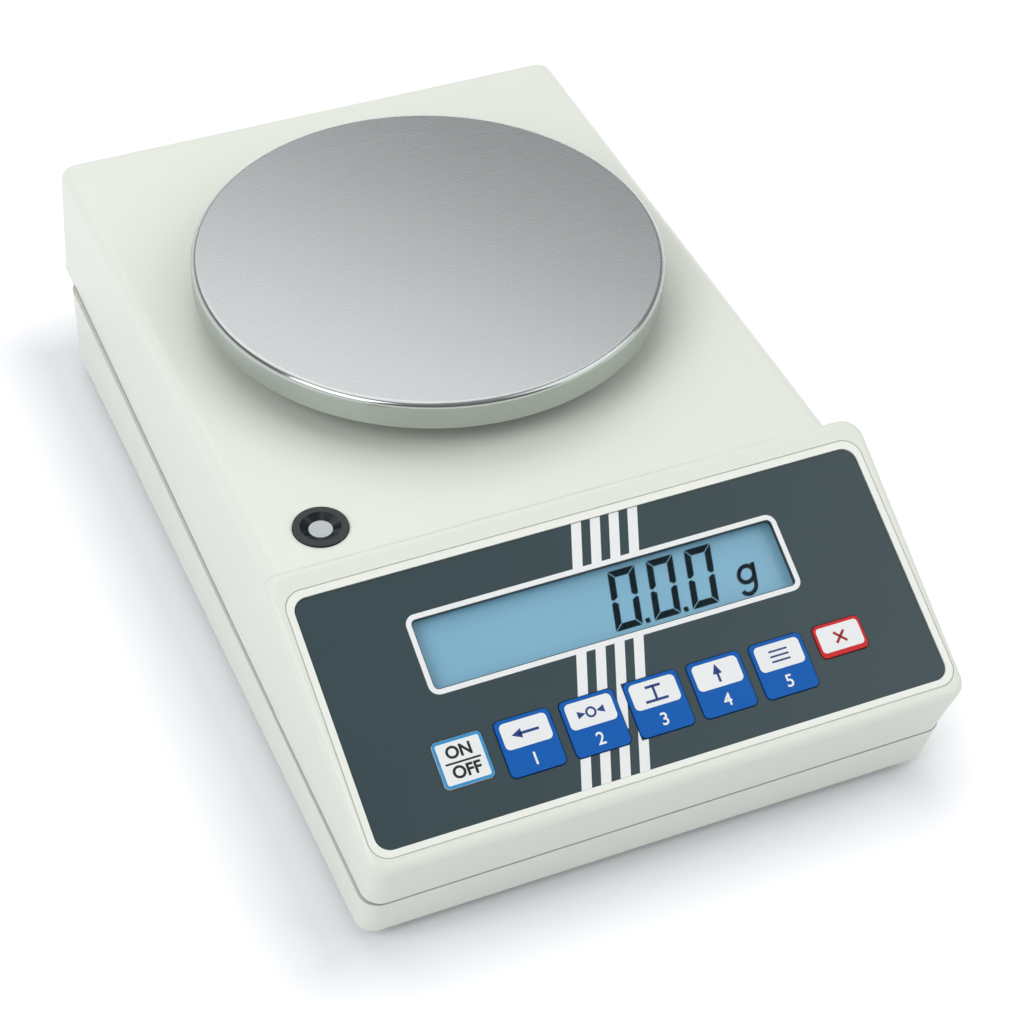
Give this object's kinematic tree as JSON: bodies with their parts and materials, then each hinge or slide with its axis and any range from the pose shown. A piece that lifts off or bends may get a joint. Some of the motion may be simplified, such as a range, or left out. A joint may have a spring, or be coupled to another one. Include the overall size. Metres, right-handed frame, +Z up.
{
  "type": "precision balance",
  "caption": "Bench precision balance: moulded casing with a sloping key and display panel, a round steel pan on a load cell, a bubble level and levelling feet.",
  "frame": {"origin": "on the table under the middle of the casing", "axes": "+Z up, -Y towards the person who reads the display, +X to their right"},
  "size_m": [0.1934, 0.306, 0.0956],
  "materials": {
    "housing_plastic": "moulded, fine texture",
    "bezel_plastic": "moulded, satin",
    "overlay_film": "printed foil, matt",
    "window_clear": "clear, polished",
    "display_glass": "liquid crystal panel",
    "diffuser_white": "milky",
    "circuit_board": "solder mask",
    "chip_black": "moulded",
    "screw_steel": "zinc plated",
    "pan_steel": "fine brushed",
    "cell_aluminium": "milled",
    "plate_aluminium": "sheet",
    "soft_rubber": "matt",
    "nut_brass": "turned",
    "socket_black": "moulded",
    "plated_shell": "nickel plated",
    "level_black": "turned, semi gloss",
    "vial_glass": "clear",
    "key_plastic": "printed key cap",
    "key_blue": "printed key cap",
    "key_red": "printed key cap",
    "cable_grey": "flat cable",
    "knurled_steel": "knurled"
  },
  "bodies": {
    "casing": {"upper_housing": "housing_plastic", "base_tray": "housing_plastic", "housing_screws": "screw_steel", "panel_insert": "bezel_plastic", "panel_overlay": "overlay_film", "display_lens": "window_clear", "display_panel": "display_glass", "display_backlight": "diffuser_white", "front_board": "circuit_board", "front_board_pillars": "housing_plastic", "front_board_screws": "screw_steel", "key_domes": "screw_steel", "chassis_plate": "plate_aluminium", "chassis_screws": "screw_steel", "cell_rear_spacer": "cell_aluminium", "cell_rear_screws": "screw_steel", "load_cell": "cell_aluminium", "overload_stop": "screw_steel", "level_ring": "level_black", "level_vial": "vial_glass", "foot_nuts": "nut_brass", "main_board": "circuit_board", "board_screws": "screw_steel", "board_components": "chip_black", "power_socket": "socket_black", "power_socket_pin": "plated_shell", "power_socket_nut": "plated_shell", "serial_shell": "plated_shell", "serial_insert": "socket_black", "serial_jackscrews": "screw_steel", "ribbon_plugs": "socket_black", "ribbon_cable": "cable_grey"},
    "pan_carrier": {"cell_front_spacer": "cell_aluminium", "support_arm": "plate_aluminium", "support_arm_screws": "screw_steel", "pan_hub": "cell_aluminium", "pan_spider": "plate_aluminium", "pan_buffers": "soft_rubber", "spider_screw": "screw_steel"},
    "pan": {"weighing_pan": "pan_steel"},
    "key_1": {"key_1": "key_plastic"},
    "key_2": {"key_2": "key_blue"},
    "key_3": {"key_3": "key_blue"},
    "key_4": {"key_4": "key_blue"},
    "key_5": {"key_5": "key_blue"},
    "key_6": {"key_6": "key_blue"},
    "key_7": {"key_7": "key_red"},
    "foot_pad_front_left": {"foot_pad_front_left": "soft_rubber"},
    "foot_screw_front_left": {"foot_screw_front_left": "knurled_steel"},
    "foot_pad_front_right": {"foot_pad_front_right": "soft_rubber"},
    "foot_screw_front_right": {"foot_screw_front_right": "knurled_steel"},
    "foot_pad_rear_left": {"foot_pad_rear_left": "soft_rubber"},
    "foot_screw_rear_left": {"foot_screw_rear_left": "knurled_steel"},
    "foot_pad_rear_right": {"foot_pad_rear_right": "soft_rubber"},
    "foot_screw_rear_right": {"foot_screw_rear_right": "knurled_steel"}
  },
  "joints": [
    {"name": "weigh_travel", "type": "slide", "parent": "casing", "child": "pan_carrier", "axis": [0, 0, -1], "range_m": [0, 0.0005], "stiffness_N_per_m": 20000, "springref_m": -0.00025, "deforming": ["load_cell"]},
    {"name": "pan_lift", "type": "slide", "parent": "pan_carrier", "child": "pan", "axis": [0, 0, 1], "range_m": [0, 0.06]},
    {"name": "key_1_press", "type": "slide", "parent": "casing", "child": "key_1", "axis": [0, 0.4384, -0.8988], "range_m": [0, 0.0005], "stiffness_N_per_m": 400, "springref_m": -0.0005},
    {"name": "key_2_press", "type": "slide", "parent": "casing", "child": "key_2", "axis": [0, 0.4384, -0.8988], "range_m": [0, 0.0005], "stiffness_N_per_m": 400, "springref_m": -0.0005},
    {"name": "key_3_press", "type": "slide", "parent": "casing", "child": "key_3", "axis": [0, 0.4384, -0.8988], "range_m": [0, 0.0005], "stiffness_N_per_m": 400, "springref_m": -0.0005},
    {"name": "key_4_press", "type": "slide", "parent": "casing", "child": "key_4", "axis": [0, 0.4384, -0.8988], "range_m": [0, 0.0005], "stiffness_N_per_m": 400, "springref_m": -0.0005},
    {"name": "key_5_press", "type": "slide", "parent": "casing", "child": "key_5", "axis": [0, 0.4384, -0.8988], "range_m": [0, 0.0005], "stiffness_N_per_m": 400, "springref_m": -0.0005},
    {"name": "key_6_press", "type": "slide", "parent": "casing", "child": "key_6", "axis": [0, 0.4384, -0.8988], "range_m": [0, 0.0005], "stiffness_N_per_m": 400, "springref_m": -0.0005},
    {"name": "key_7_press", "type": "slide", "parent": "casing", "child": "key_7", "axis": [0, 0.4384, -0.8988], "range_m": [0, 0.0005], "stiffness_N_per_m": 400, "springref_m": -0.0005},
    {"name": "foot_drop_front_left", "type": "slide", "parent": "casing", "child": "foot_pad_front_left", "axis": [0, 0, -1], "range_m": [0, 0.006]},
    {"name": "foot_turn_front_left", "type": "hinge", "parent": "foot_pad_front_left", "child": "foot_screw_front_left", "pos_m": [-0.075, -0.112, 0.005], "axis": [0, 0, 1], "range_deg": [0, 2160]},
    {"name": "foot_drop_front_right", "type": "slide", "parent": "casing", "child": "foot_pad_front_right", "axis": [0, 0, -1], "range_m": [0, 0.006]},
    {"name": "foot_turn_front_right", "type": "hinge", "parent": "foot_pad_front_right", "child": "foot_screw_front_right", "pos_m": [0.075, -0.112, 0.005], "axis": [0, 0, 1], "range_deg": [0, 2160]},
    {"name": "foot_drop_rear_left", "type": "slide", "parent": "casing", "child": "foot_pad_rear_left", "axis": [0, 0, -1], "range_m": [0, 0.006]},
    {"name": "foot_turn_rear_left", "type": "hinge", "parent": "foot_pad_rear_left", "child": "foot_screw_rear_left", "pos_m": [-0.075, 0.112, 0.005], "axis": [0, 0, 1], "range_deg": [0, 2160]},
    {"name": "foot_drop_rear_right", "type": "slide", "parent": "casing", "child": "foot_pad_rear_right", "axis": [0, 0, -1], "range_m": [0, 0.006]},
    {"name": "foot_turn_rear_right", "type": "hinge", "parent": "foot_pad_rear_right", "child": "foot_screw_rear_right", "pos_m": [0.075, 0.112, 0.005], "axis": [0, 0, 1], "range_deg": [0, 2160]}
  ],
  "couplings": [
    {"joint": "foot_turn_front_left", "follows": "foot_drop_front_left", "rad_per_m": 6283.2},
    {"joint": "foot_turn_front_right", "follows": "foot_drop_front_right", "rad_per_m": 6283.2},
    {"joint": "foot_turn_rear_left", "follows": "foot_drop_rear_left", "rad_per_m": 6283.2},
    {"joint": "foot_turn_rear_right", "follows": "foot_drop_rear_right", "rad_per_m": 6283.2}
  ]
}
